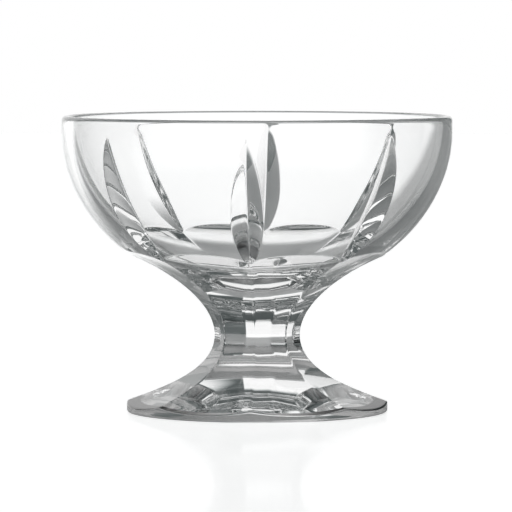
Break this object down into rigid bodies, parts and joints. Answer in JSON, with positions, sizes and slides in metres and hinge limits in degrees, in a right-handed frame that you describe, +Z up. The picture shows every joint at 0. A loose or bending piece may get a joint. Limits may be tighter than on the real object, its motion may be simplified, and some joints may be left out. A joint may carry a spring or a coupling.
{
  "type": "footed glass dessert bowl",
  "caption": "Clear glass dessert bowl with leaf-shaped cuts round the outside, on a short faceted stem and a round spreading foot.",
  "frame": {"origin": "centre of the foot's underside, on the table", "axes": "+Z up along the cup's axis, towards the rim; -Y towards a leaf cut and the ridge of the stem below it; +X completes the frame"},
  "size_m": [0.125, 0.125, 0.0948],
  "materials": {
    "clear_glass": "polished"
  },
  "bodies": {
    "root": {"bowl": "clear_glass", "stem": "clear_glass", "foot": "clear_glass"}
  },
  "joints": []
}
